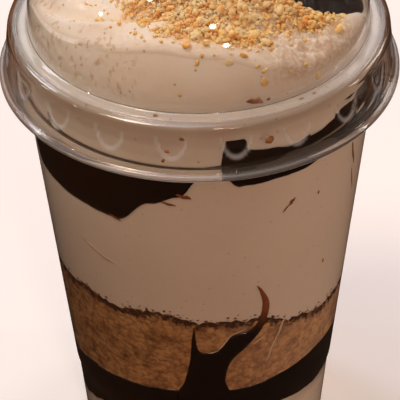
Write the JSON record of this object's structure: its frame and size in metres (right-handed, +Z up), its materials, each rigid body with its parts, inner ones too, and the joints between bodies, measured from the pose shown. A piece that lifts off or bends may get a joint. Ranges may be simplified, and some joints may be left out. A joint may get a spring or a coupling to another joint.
{
  "type": "layered dessert in a lidded tumbler",
  "caption": "Clear plastic tumbler with a press-on dome lid, filled with layers of cream, chocolate, biscuit crumb and mousse under whipped cream and golden crumbs.",
  "frame": {"origin": "centre of the tumbler's flat base, on the surface it stands on", "axes": "+Z up along the tumbler's axis, -Y towards the side that shows the streak of chocolate"},
  "size_m": [0.082, 0.082, 0.1374],
  "materials": {
    "cup_plastic": "clear thermoformed PET, glossy and colourless",
    "lid_plastic": "clear thermoformed PET, glossy and colourless",
    "pale_cream": "soft pale pinkish cream against the wall",
    "dark_chocolate": "dark chocolate, nearly black, satin behind the wall",
    "biscuit_crumb": "golden brown biscuit crumb, grainy",
    "pale_mousse": "smooth pale beige mousse",
    "dark_sauce": "glossy dark chocolate sauce",
    "whipped_cream": "whipped cream, soft and slightly pitted, with golden biscuit crumbs on it"
  },
  "bodies": {
    "root": {"cup": "cup_plastic", "lid": "lid_plastic", "bottom_cream": "pale_cream", "chocolate_layer": "dark_chocolate", "crumb_layer": "biscuit_crumb", "mousse": "pale_mousse", "chocolate_sauce": "dark_sauce", "whipped_cream": "whipped_cream", "sauce_puddle": "dark_sauce"}
  },
  "joints": []
}
